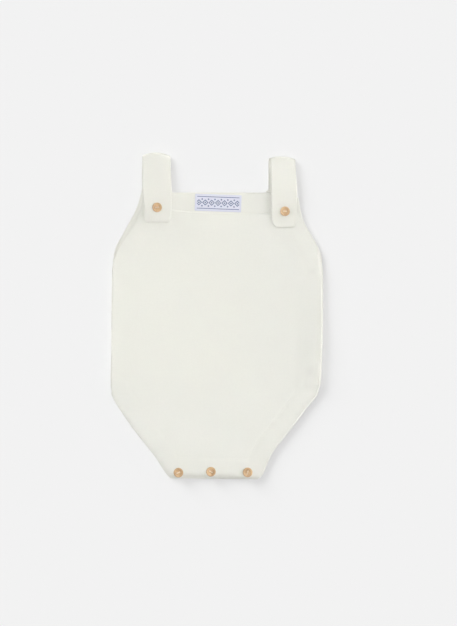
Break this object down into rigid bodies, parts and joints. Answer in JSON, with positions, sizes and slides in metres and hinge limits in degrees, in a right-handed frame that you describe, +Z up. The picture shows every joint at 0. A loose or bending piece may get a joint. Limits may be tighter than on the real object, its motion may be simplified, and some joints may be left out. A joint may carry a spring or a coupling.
{
  "type": "knitted baby romper",
  "caption": "Sleeveless baby romper in cream knit, laid flat on its back, with straps folded over and buttoned in front, a buttoned crotch flap and a woven neck label.",
  "frame": {"origin": "middle of the footprint, on the surface that the romper lies on", "axes": "+Z up, out of the romper's front; +Y from the crotch towards the shoulders; +X to the right of someone looking down on the front"},
  "size_m": [0.2514, 0.3873, 0.0103],
  "materials": {
    "knit_cloth": "matte fine-gauge jersey knit",
    "woven_label": "matte woven tape",
    "wood_button": "turned light wood, satin"
  },
  "bodies": {
    "root": {"back_panel": "knit_cloth", "front_panel": "knit_cloth", "strap_left": "knit_cloth", "strap_right": "knit_cloth", "label": "woven_label", "strap_button_left": "wood_button", "strap_button_right": "wood_button", "crotch_button_left": "wood_button", "crotch_button_middle": "wood_button", "crotch_button_right": "wood_button"}
  },
  "joints": []
}
